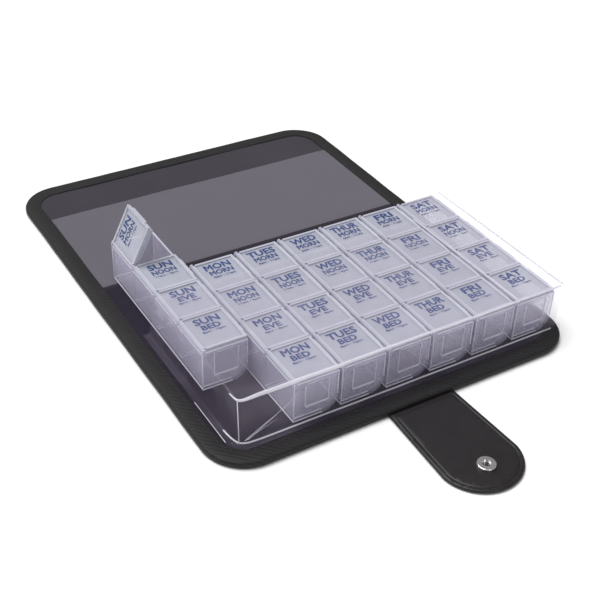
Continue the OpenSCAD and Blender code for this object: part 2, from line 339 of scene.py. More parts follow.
def puffed(x, y, side):
    """The leatherette is puffed downwards between its edges, and pressed in round the stud."""
    away = math.hypot(x - stud.x, y - stud.y)
    pressed = share((dimple_radius - away) / dimple_slope)
    if side > 0:
        return pressed * (dimple_floor + shell_thickness - shell_high.z)
    ripple = noise.noise(Vector((x, y, 0.5)) * 28)
    puff = -(0.4 + 0.12 * ripple) * MM * rim_fall(x, y, puff_reach)
    return puff * (1 - pressed) + pressed * (dimple_floor - shell_low.z)


# The rear half is cut finer, because the dimple round the stud is in it.
for half, step in (("front", 5 * MM), ("rear", 2 * MM)):
    skin = sheet_half(
        "leatherette", half, step, shell_low.z, shell_high.z, black_leatherette, puffed
    )
    replace_layer(half, "shell")
    bend_with_case(skin)

# ---- Stiffening boards ----
# Grey-brown pressed boards between the leatherette and the lining keep the panels flat. They are
# covered on both sides, and the spine's is a thin pad that gives at the folds.
pressed_board, shader = new_finish("pressed_board", (0.15, 0.13, 0.11), 0.85)
fibres = mottle(pressed_board, 900.0, 5.0)
emboss(pressed_board, shader, fibres, 0.4, 0.1 * MM)


def repaint(name, finish):
    """Gives a node of the frame its finish."""
    materials = frame["nodes"][name].data.materials
    materials.clear()
    materials.append(finish)


for board in ("base_board", "spine_pad", "cover_board"):
    repaint(board, pressed_board)

# ---- Inner lining ----
# A smooth dark plum-grey vinyl sheet covers the boards inside. It lies flat under the sleeve, and
# has soft waves beside it, long wrinkles over the spine and a few dents on the cover.
sleeve_low, sleeve_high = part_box("sleeve_top")
pocket_low, pocket_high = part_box("flat_pocket")
lining_low, lining_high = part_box("base_lining")
tray_clearance = 5 * MM
spine_wrinkle_reach = 17 * MM
calm_edge = 14 * MM

plum_lining, shader = new_finish("plum_lining", (0.03, 0.025, 0.034), 0.28)
shader.inputs["Specular IOR Level"].default_value = 0.3
clouds = mottle(plum_lining, 22.0, 3.0)
# Painted shade: the lining's base part, under and beside the sleeve, is painted a far darker tone
# than its part on the cover, where the sleeve and trays shade it. The two tones meet at the pocket's
# front edge.
on_cover_tone = two_tones(plum_lining, clouds, (0.034, 0.029, 0.038), (0.05, 0.043, 0.056))
base_tone_painted_shade = two_tones(plum_lining, clouds, (0.006, 0.004, 0.008), (0.02, 0.013, 0.03))
along_case = node(plum_lining, "SeparateXYZ", {"Vector": place_on(plum_lining)})
on_cover = spread(
    plum_lining,
    along_case.outputs["Y"],
    0.0,
    1.0,
    pocket_low.y - 4 * MM,
    pocket_low.y + 4 * MM,
)
lining_tone_with_painted_shade = node(
    plum_lining,
    "MixRGB",
    {"Fac": on_cover, "Color1": base_tone_painted_shade, "Color2": on_cover_tone},
)
feed(plum_lining, lining_tone_with_painted_shade.outputs[0], shader, "Base Color")
emboss(plum_lining, shader, mottle(plum_lining, 1400.0, 2.0), 0.1, 0.02 * MM)


def wrinkled(x, y, side):
    """Waves of the lining: high over the spine and beside the sleeve, none where the trays run."""
    if side < 0:
        return 0.0
    slow = noise.noise(Vector((x * 26, y * 30, 1.7)))
    long = noise.noise(Vector((x * 14, y * 95, 4.2)))
    spine = math.exp(-(((y - seam) / spine_wrinkle_reach) ** 2))
    beside = share((sleeve_low.x - 4 * MM - x) / (4 * MM))
    height = 0.25 * slow + 0.55 * spine * (long + 0.4) + 0.45 * beside * (long + 0.5)
    if x > sleeve_low.x - tray_clearance:
        if y < front_fold - 4 * MM:
            height = min(height, 0.15) * 0.5
        height = min(height, 0.22)
    if pocket_low.y - 2 * MM < y < pocket_high.y + 2 * MM:
        height = min(height, 0.0)
    return max(-0.35, height) * MM * rim_fall(x, y, calm_edge)


for half in free_edges:
    lining = sheet_half(
        "lining", half, 3.2 * MM, lining_low.z, lining_high.z, plum_lining, wrinkled
    )
    replace_layer(half, "lining")
    bend_with_case(lining)

# ---- Edge binding ----
# Black ribbed twill tape is folded round the edges of all layers and sewn down. It turns the round
# corners in one piece, and its ribs run slantwise.
tape_width = 10 * MM
tape_thickness = 0.6 * MM
tape_ripple = 0.16 * MM
tape_waver = 0.25 * MM
tape_step = 2.5 * MM
corner_steps, across_steps = 16, 60
twill_tape, shader = new_finish("twill_tape", (0.02, 0.017, 0.018), 0.6)
shader.inputs["Sheen Weight"].default_value = 0.03
shader.inputs["Sheen Roughness"].default_value = 0.4
shader.inputs["Specular IOR Level"].default_value = 0.35
ribs = node(
    twill_tape,
    "TexWave",
    {"Vector": place_on(twill_tape), "Scale": 185.0, "Distortion": 0.5, "Detail": 1.0},
    wave_type="BANDS",
    bands_direction="DIAGONAL",
).outputs["Fac"]
weave = node(
    twill_tape,
    "Math",
    {0: mottle(twill_tape, 2600.0, 2.0), 1: 0.35, 2: ribs},
    operation="MULTIPLY_ADD",
)
emboss(twill_tape, shader, weave.outputs[0], 0.45, 0.18 * MM)
# Painted shade: the grooves between the ribs are painted darker than their crests.
painted_rib_shade = two_tones(twill_tape, ribs, (0.0045, 0.0035, 0.004), (0.0125, 0.0105, 0.0115))
feed(twill_tape, painted_rib_shade, shader, "Base Color")


def drag(bm, ring, offset, steps):
    """Draws a ring of edges along an offset in even steps, and returns the last ring."""
    for _ in range(steps):
        made = bmesh.ops.extrude_edge_only(bm, edges=ring)["geom"]
        verts = verts_of(made)
        bmesh.ops.translate(bm, verts=verts, vec=Vector(offset) / steps)
        ring = [e for e in edges_of(made) if all(v in verts for v in e.verts)]
    return ring


def turn(bm, ring, centre, angle, steps):
    """Turns a ring of edges about an upright axis, and returns the last ring."""
    made = bmesh.ops.spin(
        bm,
        geom=ring + list({v for e in ring for v in e.verts}),
        cent=centre,
        axis=(0, 0, 1),
        angle=angle,
        steps=steps,
        use_duplicate=False,
    )["geom_last"]
    return edges_of(made)


def section_ring(bm, points, closed):
    """A chain of edges through points, joined at its ends where it is closed."""
    verts = [bm.verts.new(p) for p in points]
    followers = verts[1:] + verts[:1] if closed else verts[1:]
    return [bm.edges.new(pair) for pair in zip(verts, followers)]


def edge_tape(free_edge):
    """The tape round one half: down a side, round a corner, across, and back up the other side."""
    outward = 1 if free_edge > seam else -1
    t, w, top = tape_thickness, tape_width, panel_top
    section = [
        (w, top - t),
        (w - 0.1 * MM, top - 0.1 * MM),
        (w - 0.6 * MM, top),
        (w / 2, top + 0.06 * MM),
        (1.5 * MM, top),
        (0.5 * MM, top - 0.35 * MM),
        (0, top - 1.2 * MM),
        (0, 1.2 * MM),
        (0.5 * MM, 0.35 * MM),
        (1.5 * MM, 0),
        (w - 0.6 * MM, 0),
        (w - 0.1 * MM, 0.1 * MM),
        (w, t),
        (1.6 * MM, t),
        (t, 1.3 * MM),
        (t, top - 1.3 * MM),
        (1.6 * MM, top - t),
    ]
    side, r = half_width, corner_radius
    quarter = outward * math.pi / 2
    straight = (free_edge - seam) - outward * r
    pace = round(abs(straight) / tape_step)
    centre_y = free_edge - outward * r
    bm = bmesh.new()
    first = section_ring(bm, [(side - d, seam, z) for d, z in section], True)
    ring = drag(bm, first, (0, straight, 0), pace)
    ring = turn(bm, ring, (side - r, centre_y, 0), quarter, corner_steps)
    ring = drag(bm, ring, (-2 * (side - r), 0, 0), across_steps)
    ring = turn(bm, ring, (r - side, centre_y, 0), quarter, corner_steps)
    ring = drag(bm, ring, (0, -straight, 0), pace)
    for cap in (first, ring):
        bmesh.ops.contextual_create(bm, geom=cap)
    for v in bm.verts:
        if v.co.z > panel_top / 2:
            v.co.z += tape_ripple * (noise.noise(v.co * 60) - 0.3)
        v.co.x += tape_waver * noise.noise(Vector((v.co.y * 35, 3.0, v.co.x)))
    bmesh.ops.recalc_face_normals(bm, faces=bm.faces)
    return bm


for half, free_edge in free_edges.items():
    tape = made_piece(edge_tape(free_edge), "binding_" + half, twill_tape, 50)
    replace_layer(half, "binding")
    bend_with_case(tape)

# ---- Binding stitches ----
# One row of black lockstitch near the tape's inner edge, sewn through all the layers, so that it
# shows on both faces of the case. Each stitch is a short thread that dips at its two ends.
stitch_pitch = 3.1 * MM
stitch_inset = 8.3 * MM
stitch_size = Matrix.Diagonal((1.25 * MM, 0.3 * MM, 0.2 * MM, 1))
stitch_sink = 0.02 * MM
black_thread, shader = new_finish("black_thread", (0.012, 0.011, 0.012), 0.55)
ply = node(
    black_thread,
    "TexWave",
    {"Vector": place_on(black_thread), "Scale": 900.0},
    bands_direction="DIAGONAL",
)
emboss(black_thread, shader, ply.outputs["Fac"], 0.4, 0.05 * MM)


def along_edge(free_edge, inset, step):
    """Points at even steps on the line that runs inside the outline, each with its direction."""
    outward = 1 if free_edge > seam else -1
    side = half_width - inset
    r = corner_radius - inset
    centre_y = free_edge - outward * corner_radius
    straight, bend, across = abs(centre_y - seam), r * math.pi / 2, 2 * (side - r)
    total = 2 * straight + 2 * bend + across
    count = int(total / step)
    for k in range(count):
        s = (k + 0.5) * total / count
        flip = -1 if s > total / 2 else 1
        s = min(s, total - s)
        if s < straight:
            yield flip * side, seam + outward * s, math.pi / 2
        elif s < straight + bend:
            a = (s - straight) / r
            x = side - r + r * math.cos(a)
            heading = flip * outward * (a + math.pi / 2)
            yield flip * x, centre_y + outward * r * math.sin(a), heading
        else:
            x = side - r - (s - straight - bend)
            yield flip * x, centre_y + outward * r, 0.0


for half, free_edge in free_edges.items():
    stitches = bmesh.new()
    for x, y, heading in along_edge(free_edge, stitch_inset, stitch_pitch):
        lie = Matrix.Rotation(heading, 4, "Z") @ stitch_size
        for z in (panel_top - stitch_sink, stitch_sink):
            bmesh.ops.create_icosphere(
                stitches,
                subdivisions=1,
                radius=1,
                matrix=Matrix.Translation((x, y, z)) @ lie,
            )
    thread = made_piece(stitches, "stitching_" + half, black_thread, 90)
    bend_with_case(thread)

# ---- Flat pocket ----
# A sheet of hazy clear film lies on the cover, held under the binding at both sides and welded to
# the lining along the spine. Its rear edge is open and waves a little.
pocket_thickness = 0.08 * MM
side_hold, weld_hold = 25 * MM, 20 * MM
open_edge_waver = 1.2 * MM
pocket_film, shader = new_finish("pocket_film", (0.45, 0.43, 0.51), 0.22)
shader.inputs["Alpha"].default_value = 0.13
shader.inputs["Specular IOR Level"].default_value = 0.8
emboss(pocket_film, shader, mottle(pocket_film, 14.0, 2.0), 0.2, 1 * MM)


def thicken(bm, thickness):
    """Gives an open sheet its thickness, upwards, and closes it round its edge."""
    other = bmesh.ops.extrude_face_region(bm, geom=bm.faces[:])["geom"]
    bmesh.ops.translate(bm, verts=verts_of(other), vec=(0, 0, thickness))
    bmesh.ops.recalc_face_normals(bm, faces=bm.faces)


bm = bmesh.new()
bmesh.ops.create_grid(bm, x_segments=52, y_segments=22, size=1)
film_size = (pocket_high - pocket_low) / 2
film_middle = (pocket_high + pocket_low) / 2
bmesh.ops.scale(bm, verts=bm.verts, vec=(film_size.x, film_size.y, 1))
bmesh.ops.translate(bm, verts=bm.verts, vec=(0, film_middle.y, lining_high.z))
for v in bm.verts:
    from_side = min(1.0, (film_size.x - abs(v.co.x)) / side_hold)
    from_weld = min(1.0, (v.co.y - pocket_low.y) / weld_hold)
    rise = 0.06 + 0.08 * noise.noise(Vector((v.co.x * 18, v.co.y * 22, 7.7)))
    v.co.z += (0.03 + rise * from_side * from_weld) * MM
    edge = max(0.0, (v.co.y - film_middle.y) / film_size.y)
    v.co.y += open_edge_waver * edge * noise.noise(Vector((v.co.x * 20, 0.0, 2.2)))
thicken(bm, pocket_thickness)
pocket = made_piece(bm, "pocket_sheet", pocket_film)
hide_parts("flat_pocket")
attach(pocket, "cover")

# ---- Clear sleeve ----
# Soft clear vinyl is welded into a box round the trays, open at the rear. Its walls stand on a flange
# that is welded to the lining, and they bulge and lean a little between the welds.
clear_vinyl, shader = new_finish("clear_vinyl", (0.76, 0.68, 0.86), 0.06)
shader.inputs["Specular IOR Level"].default_value = 1.0
shader.inputs["Coat Weight"].default_value = 0.6
shader.inputs["Coat Roughness"].default_value = 0.04
cloudiness = mottle(clear_vinyl, 32.0, 2.0)
film_haze = spread(clear_vinyl, cloudiness, 0.03, 0.085, 0.4, 0.75)
feed(clear_vinyl, film_haze, shader, "Alpha")
emboss(clear_vinyl, shader, mottle(clear_vinyl, 55.0, 2.0), 0.5, 1.2 * MM)

film = 0.35 * MM
flange = 3.6 * MM
floor_z = lining_high.z + 0.1 * MM
wall_section = [
    (-flange, floor_z),
    (-0.7 * MM, floor_z),
    (-0.15 * MM, floor_z + 0.4 * MM),
    (0, floor_z + 1.2 * MM),
    (0, floor_z + 7 * MM),
    (0, floor_z + 14 * MM),
    (0, floor_z + 21 * MM),
    (0, floor_z + 26 * MM),
    (0.1 * MM, sleeve_low.z - 1.5 * MM),
    (0.5 * MM, sleeve_low.z - 0.5 * MM),
    (1.2 * MM, sleeve_low.z),
]
left, right_side, front = sleeve_low.x, sleeve_high.x, sleeve_low.y
corner_left, corner_right = 6 * MM, 3 * MM
start_y = front + 90 * MM
front_belly, left_belly, right_belly = 0.5 * MM, 0.8 * MM, 1.6 * MM
rear_lean = 14 * MM
sag_depth, sag_reach = 1 * MM, 10 * MM


def corner_sag(x, y):
    """How far the sleeve's upper edge has sunk where its first column is empty."""
    away = Vector((x - left, y - front)).length
    return sag_depth * math.exp(-((away / sag_reach) ** 2))


bm = bmesh.new()
quarter = math.pi / 2
left_centre = (left + corner_left, front + corner_left, 0)
right_centre = (right_side - corner_right, front + corner_right, 0)
ring = section_ring(bm, [(left + d, start_y, z) for d, z in wall_section], False)
ring = drag(bm, ring, (0, front + corner_left - start_y, 0), 24)
ring = turn(bm, ring, left_centre, quarter, 8)
ring = drag(bm, ring, (right_side - left - corner_left - corner_right, 0, 0), 70)
ring = turn(bm, ring, right_centre, quarter, 6)
ring = drag(bm, ring, (0, start_y - front - corner_right, 0), 24)
height = sleeve_low.z - floor_z
for v in bm.verts:
    h = share((v.co.z - floor_z) / height)
    belly = math.sin(math.pi * h)
    along = max(0.0, (v.co.y - front) / (start_y - front))
    on_front = v.co.y < front + 2 * MM
    wave = noise.noise(Vector((v.co.x * 30, v.co.y * 30, v.co.z * 25)))
    if on_front:
        v.co.y -= front_belly * belly * (1 + wave)
    elif v.co.x < 0:
        v.co.x -= left_belly * belly * (1 + 1.4 * wave)
    else:
        v.co.x += right_belly * belly * (1 + 0.8 * wave)
    if not on_front and h > 0:
        v.co.y += along * rear_lean * (1 - h)
    v.co.z -= h * corner_sag(v.co.x, v.co.y)
bmesh.ops.recalc_face_normals(bm, faces=bm.faces)
bmesh.ops.solidify(bm, geom=bm.faces[:], thickness=film)
walls = made_piece(bm, "sleeve_wall_film", clear_vinyl, 60)
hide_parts("sleeve_walls")
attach(walls, "base")

# ---- Sleeve's top sheet ----
# The same vinyl closes the box above the trays. It hangs from the front weld, rests close above the
# lids at its open rear edge, and has a longer tongue over the last tray.
tongue_start = sleeve_high.x - 32 * MM
tongue = 20 * MM
tongue_blend = 5 * MM
sheet_rear = sleeve_high.y - tongue
lid_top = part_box("lid_mon_noon")[1].z
lid_gap = 0.9 * MM
sheet_ripple = 0.35 * MM
bm = bmesh.new()
bmesh.ops.create_grid(bm, x_segments=56, y_segments=26, size=1)
span = sleeve_high - sleeve_low
sheet_middle = ((left + right_side) / 2, front + span.y / 2, 0)
bmesh.ops.scale(bm, verts=bm.verts, vec=(span.x / 2, span.y / 2, 1))
bmesh.ops.translate(bm, verts=bm.verts, vec=sheet_middle)
for v in bm.verts:
    edge = share((v.co.x - tongue_start) / tongue_blend)
    depth = (v.co.y - front) / span.y
    reach = (sheet_rear - front) + tongue * edge
    v.co.y = front + depth * reach
    sag = depth * depth * (sleeve_low.z - lid_top - lid_gap)
    ripple = noise.noise(Vector((v.co.x * 28, v.co.y * 16, 9.1)))
    v.co.z = sleeve_low.z - sag + sheet_ripple * ripple * min(1, depth * 5)
    v.co.z -= corner_sag(v.co.x, v.co.y)
thicken(bm, film)
top_sheet = made_piece(bm, "sleeve_top_film", clear_vinyl, 60)
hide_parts("sleeve_top")
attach(top_sheet, "base")

# ---- Sleeve welds and painted highlights ----
# Where two films are welded they are thick and milky: a flattened roll along the top front edge, thin
# beads along the right edge, the foot and the flange. These rods also carry painted highlight where
# the welded edges catch the light. Folds in the film, at the front left corner, low in the front wall
# and beside the last tray, are drawn as the same milky rods: painted highlights where the folds catch
# the light.
# Milky and light: the welds' own milkiness, with painted highlight on the welds and along the folds.
milky_weld_and_painted_highlight, shader = new_finish("milky_weld_and_painted_highlight", (0.86, 0.84, 0.92), 0.12)
shader.inputs["Alpha"].default_value = 0.55
shader.inputs["Specular IOR Level"].default_value = 0.9
emboss(milky_weld_and_painted_highlight, shader, mottle(milky_weld_and_painted_highlight, 240.0, 2.0), 0.4, 0.4 * MM)


def weld_line(name, points, radius, narrowing=0.0, swelling=0):
    """A milky rod through points, for a weld with painted highlight on it and for a painted highlight
    along a fold. It may swell over its first ones and narrow to its end.
    """
    curve = bpy.data.curves.new(name, "CURVE")
    curve.dimensions = "3D"
    curve.bevel_depth = radius
    curve.bevel_resolution = 2
    curve.resolution_u = 4
    curve.use_fill_caps = True
    spline = curve.splines.new("NURBS")
    spline.points.add(len(points) - 1)
    for k, point in enumerate(points):
        spline.points[k].co = (*point, 1)
        swollen = min(1.0, 0.25 + k / swelling) if swelling else 1.0
        spline.points[k].radius = swollen * (1 - narrowing * k / (len(points) - 1))
    spline.use_endpoint_u = True
    spline.order_u = 3
    holder = bpy.data.objects.new(name, curve)
    scene.collection.objects.link(holder)
    bpy.context.view_layer.update()
    bm = bmesh.new()
    bm.from_mesh(bpy.data.meshes.new_from_object(holder))
    bpy.data.objects.remove(holder)
    bmesh.ops.remove_doubles(bm, verts=bm.verts, dist=0.01 * MM)
    bmesh.ops.recalc_face_normals(bm, faces=bm.faces)
    piece = made_piece(bm, name, milky_weld_and_painted_highlight, 60)
    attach(piece, "base")


def wandering(start, end, step, amount, seed):
    """Points from start to end at even steps, each a little off the straight line."""
    start, end = Vector(start), Vector(end)
    count = max(3, round((end - start).length / step))
    points = []
    for k in range(count + 1):
        point = start.lerp(end, k / count)
        for axis in (1, 2):
            point[axis] += amount * noise.noise(Vector((k * 0.9, seed, axis * 5.3)))
        points.append(point)
    return points


edge_z = sleeve_low.z - 0.3 * MM
foot_z = floor_z + 0.5 * MM
flange_z = floor_z + 0.1 * MM
roll_start = (left + 13 * MM, front + 0.6 * MM, edge_z)
roll_end = (right_side - corner_right, front + 0.6 * MM, edge_z)
roll_path = [
    (left + 0.3 * MM, front + 9 * MM, edge_z - 0.9 * MM),
    (left + 0.6 * MM, front + 4 * MM, edge_z - 1.1 * MM),
    (left + 2.4 * MM, front + 1.6 * MM, edge_z - 0.9 * MM),
    (left + 6.5 * MM, front + 0.7 * MM, edge_z - 0.2 * MM),
]
roll_path.extend(wandering(roll_start, roll_end, 9 * MM, 0.45 * MM, 1.0))
weld_line("front_roll", roll_path, 1.3 * MM, 0.6, 6)

edge_front = (right_side - 0.4 * MM, front + 1.5 * MM, edge_z)
edge_rear = (right_side - 0.4 * MM, sleeve_high.y, lid_top + 1.2 * MM)
edge_path = wandering(edge_front, edge_rear, 12 * MM, 0.3 * MM, 5.0)
weld_line("right_edge_weld", edge_path, 0.55 * MM, 0.4)

# A painted highlight along the fold at the front left corner.
corner_foot = (left + 1.6 * MM, front + 1.6 * MM, foot_z)
corner_top = (left + 0.9 * MM, front + 2.2 * MM, edge_z - 1.2 * MM)
corner_path = wandering(corner_foot, corner_top, 5 * MM, 0.5 * MM, 6.0)
weld_line("left_corner_crease_highlight", corner_path, 0.3 * MM)

# Three folds fan out from the foot of the front left corner, each a painted highlight: how far
# across, forward and up.
fan = ((26, 0.3, 15), (19, 0.2, 8), (31, 0.4, 20))
for number, (across, forward, rise) in enumerate(fan):
    foot = Vector((left + (4 + number) * MM, front + 0.2 * MM, foot_z + 2 * MM))
    tip = foot + Vector((across * MM, -forward * MM, rise * MM))
    crease_path = wandering(foot, tip, 5 * MM, 0.3 * MM, 11.0 + number)
    weld_line(f"front_crease_{number + 1}", crease_path, 0.16 * MM, 0.9)

foot_start = (left + 10 * MM, front - 0.3 * MM, foot_z)
foot_end = (right_side - 5 * MM, front - 0.3 * MM, foot_z)
foot_path = [
    (left - 0.6 * MM, front + 14 * MM, foot_z),
    (left, front + 5 * MM, foot_z),
    (left + 3 * MM, front + 0.5 * MM, foot_z),
]
foot_path.extend(wandering(foot_start, foot_end, 14 * MM, 0.2 * MM, 2.0))
weld_line("foot_weld", foot_path, 0.5 * MM)

flange_front = (left - flange, front + 6 * MM, flange_z)
flange_rear = (left - flange, front + 40 * MM, flange_z)
flange_path = wandering(flange_front, flange_rear, 12 * MM, 0.1 * MM, 7.0)
weld_line("flange_edge_left", flange_path, 0.25 * MM)

# A painted highlight along the fold beside the last tray.
fold_x = tongue_start - 1.5 * MM
fold_front = (fold_x, front + 2 * MM, sleeve_low.z + 0.2 * MM)
fold_rear = (fold_x, sheet_rear, lid_top + 1.3 * MM)
fold_path = wandering(fold_front, fold_rear, 12 * MM, 0.2 * MM, 3.0)
weld_line("crease_highlight_by_last_tray", fold_path, 0.35 * MM)

# ---- Day trays ----
# Seven narrow troughs of frosted polypropylene, each moulded in one piece with three partitions and
# a scooped lower right edge. Light passes through the walls, and the rims' thick faces look milkier.
# The walls have painted light and shade, lighter towards the rim and darker towards the floor, and
# milky beads along their edges are painted highlights.
tray_highlight_bead = 0.34 * MM
shortest_highlight_bead = 1.6 * MM
highlight_bead_sink = 1.25
sharp_edge = math.radians(40)
painted_shade_floor, painted_light_rim = 7 * MM, 29 * MM
frosted_tray, shader = new_finish("frosted_tray", (0.8, 0.77, 0.97), 0.3)


def frosting(finish, shader, opacity, shaded_low=1.0, lit_high=1.0):
    """Frosting whose haze and gloss vary softly, and which may be painted light and shade by height:
    clearer and darker at the floor, milkier and lighter at the rim.
    """
    frost = mottle(finish, 90.0, 3.0)
    haze = spread(finish, frost, opacity * 0.85, opacity * 1.15)
    height = node(finish, "SeparateXYZ", {"Vector": place_on(finish)}).outputs["Z"]
    painted_light_by_height = spread(
        finish, height, shaded_low, lit_high, painted_shade_floor, painted_light_rim
    )
    milkiness = node(finish, "Math", {0: haze, 1: painted_light_by_height}, operation="MULTIPLY")
    feed(finish, milkiness.outputs[0], shader, "Alpha")
    feed(finish, spread(finish, frost, 0.24, 0.4), shader, "Roughness")


# The trays' walls get painted light and shade: clearer and darker near the floor, milkier and lighter
# towards the rim.
frosting(frosted_tray, shader, 0.22, 0.75, 1.35)
# The beads' finish: light and nearly opaque, a painted highlight along the edges.
edge_painted_highlight, shader = new_finish("edge_painted_highlight", (0.84, 0.84, 0.93), 0.25)
frosting(edge_painted_highlight, shader, 0.7)
milky_border, shader = new_finish("milky_border", (0.62, 0.63, 0.73), 0.28)
frosting(milky_border, shader, 0.6)


def moulding(cad_name, finish, highlight_bead, is_thick, shows):
    """A moulding with milky beads, painted highlights, along the edges that show, and milkier thick
    faces.
    """
    bm = bmesh.new()
    bm.from_mesh(frame["nodes"][cad_name].data)
    bmesh.ops.remove_doubles(bm, verts=bm.verts, dist=0.001 * MM)
    bmesh.ops.dissolve_limit(
        bm, angle_limit=math.radians(0.5), verts=bm.verts, edges=bm.edges
    )
    for face in bm.faces:
        face.material_index = 2 if is_thick(face) else 0
    sharp = []
    for edge in bm.edges:
        if len(edge.link_faces) != 2 or edge.calc_length() < shortest_highlight_bead:
            continue
        if edge.calc_face_angle() > sharp_edge and shows(edge):
            ends = [v.co.copy() for v in edge.verts]
            outward = edge.link_faces[0].normal + edge.link_faces[1].normal
            side = 1 if edge.is_convex else -1
            sharp.append((ends, outward.normalized() * highlight_bead * highlight_bead_sink * side))
    # Each bead is a painted highlight: a milky rod laid along a sharp edge.
    for (start, end), outward in sharp:
        along = end - start
        turned = Vector((0, 0, 1)).rotation_difference(along).to_matrix().to_4x4()
        rod = bmesh.ops.create_cone(
            bm,
            cap_ends=True,
            segments=6,
            radius1=highlight_bead,
            radius2=highlight_bead,
            depth=along.length,
            matrix=Matrix.Translation((start + end) / 2 - outward) @ turned,
        )
        for face in {f for v in rod["verts"] for f in v.link_faces}:
            face.material_index = 1
    piece = made_piece(bm, cad_name + "_moulding", finish, 30)
    piece.data.materials.append(edge_painted_highlight)
    piece.data.materials.append(milky_border)
    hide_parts(cad_name)
    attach(piece, cad_name)


DAYS = ("sun", "mon", "tues", "wed", "thur", "fri", "sat")
TIMES = ("bed", "eve", "noon", "morn")
rim_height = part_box("tray_mon")[1].z - 5 * MM
lower_part = rim_height - 12 * MM


def rim_face(face):
    """The tray's upper faces, where its walls are seen end on."""
    return face.normal.z > 0.9 and face.calc_center_median().z > rim_height


def tray_edge(edge):
    """Outer edges get a painted highlight, and of the inner ones those that run across the tray in
    its lower part.
    """
    if edge.is_convex:
        return True
    start, end = (v.co for v in edge.verts)
    along = end - start
    if abs(along.x) > 0.8 * along.length:
        return min(start.z, end.z) < lower_part
    return False


for day in DAYS:
    moulding("tray_" + day, frosted_tray, tray_highlight_bead, rim_face, tray_edge)

# ---- Lids ----
# Four lids to a tray, of the same frosted plastic, hinged on stub pins along the tray's left edge.
# Each has a raised border round a sunk panel, and a thumb tab at its right. One stands open.
lid_highlight_bead = 0.24 * MM
border_height = lid_top - 0.3 * MM
frosted_lid, shader = new_finish("frosted_lid", (0.56, 0.57, 0.66), 0.34)
frosting(frosted_lid, shader, 0.55)
open_lid = ("sun", "morn")
open_axis = pivots["lid_sun_morn_hinge"]
open_angle = math.radians(64)
swung = (
    Matrix.Translation(open_axis)
    @ Matrix.Rotation(-open_angle, 4, "Y")
    @ Matrix.Translation(-open_axis)
)


def border_face(face):
    """A closed lid's raised border."""
    return face.normal.z > 0.9 and face.calc_center_median().z > border_height


def open_border_face(face):
    """The open lid's raised border, found with the lid turned back."""
    back_up = swung.inverted()
    normal = back_up.to_3x3() @ face.normal
    middle = back_up @ face.calc_center_median()
    return normal.z > 0.9 and middle.z > border_height


def lid_edge(edge):
    """A lid's outer edges get a painted highlight, and its inner ones are lost in the frosting."""
    return edge.is_convex


for day in DAYS:
    for time in TIMES:
        border = open_border_face if (day, time) == open_lid else border_face
        moulding(f"lid_{day}_{time}", frosted_lid, lid_highlight_bead, border, lid_edge)

# ---- Printed labels ----
# The day, the time of day and its hours are printed in blue in the rear part of each sunk panel, in
# plain bold capitals. The print is a thin layer of ink.
HOURS = {
    "morn": "6am - 11am",
    "noon": "11am - 4pm",
    "eve": "4pm - 8pm",
    "bed": "8pm - 12pm",
}
# Widths in millimetres.
word_width = {
    "sun": 14.8,
    "mon": 16.0,
    "tues": 17.4,
    "wed": 16.4,
    "thur": 17.8,
    "fri": 12.0,
    "sat": 14.6,
    "morn": 14.6,
    "noon": 14.6,
    "eve": 10.4,
    "bed": 11.0,
}
hours_width = 13.6
# The height of each line, and how far in front of the print's rear edge it stands.
day_line, time_line, hours_line = (5.6, 6.6), (4.3, 11.7), (1.9, 14.5)
letter_weight = 0.032
print_inset = 1.9 * MM
print_shift = 0.5 * MM
panel_sink = 0.8 * MM
ink_thickness = 0.03 * MM
ink_lift = 0.01 * MM
blue_ink, shader = new_finish("blue_ink", (0.03, 0.07, 0.24), 0.5)
speckle = mottle(blue_ink, 1800.0, 2.0)
ink_tone = two_tones(blue_ink, speckle, (0.014, 0.036, 0.14), (0.03, 0.065, 0.21))
feed(blue_ink, ink_tone, shader, "Base Color")


def ink_line(text, width, height, forward):
    """One line of print as a mesh, centred on x 0, squeezed to a width and height in millimetres."""
    curve = bpy.data.curves.new("ink_line", "FONT")
    curve.body = text
    curve.align_x = "CENTER"
    curve.resolution_u = 2
    curve.bevel_depth = letter_weight
    curve.bevel_resolution = 0
    curve.extrude = 0.5
    holder = bpy.data.objects.new("ink_line", curve)
    scene.collection.objects.link(holder)
    bpy.context.view_layer.update()
    mesh = bpy.data.meshes.new_from_object(holder)
    bpy.data.objects.remove(holder)
    bpy.data.curves.remove(curve)
    xs = [v.co.x for v in mesh.vertices]
    ys = [v.co.y for v in mesh.vertices]
    across = width * MM / (max(xs) - min(xs))
    along = height * MM / (max(ys) - min(ys))
    scale = Matrix.Diagonal((across, along, ink_thickness, 1))
    middle = Matrix.Translation((-(max(xs) + min(xs)) / 2, -min(ys), 0.5))
    mesh.transform(Matrix.Translation((0, -forward * MM, 0)) @ scale @ middle)
    return mesh


for day in DAYS:
    for time in TIMES:
        lines = bmesh.new()
        for mesh in (
            ink_line(day.upper(), word_width[day], *day_line),
            ink_line(time.upper(), word_width[time], *time_line),
            ink_line(HOURS[time], hours_width, *hours_line),
        ):
            lines.from_mesh(mesh)
            bpy.data.meshes.remove(mesh)
        closed_low, closed_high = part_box(f"lid_mon_{time}")
        tray_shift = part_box("tray_" + day)[0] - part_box("tray_mon")[0]
        middle_x = (closed_low.x + closed_high.x) / 2 + print_shift + tray_shift.x
        print_rear = closed_high.y - print_inset + tray_shift.y
        ink_z = closed_high.z - panel_sink + ink_lift
        place = Matrix.Translation((middle_x, print_rear, ink_z))
        if (day, time) == open_lid:
            place = swung @ place
        bmesh.ops.transform(lines, verts=lines.verts, matrix=place)
        label = made_piece(lines, f"label_{day}_{time}", blue_ink, 30)
        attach(label, f"lid_{day}_{time}")

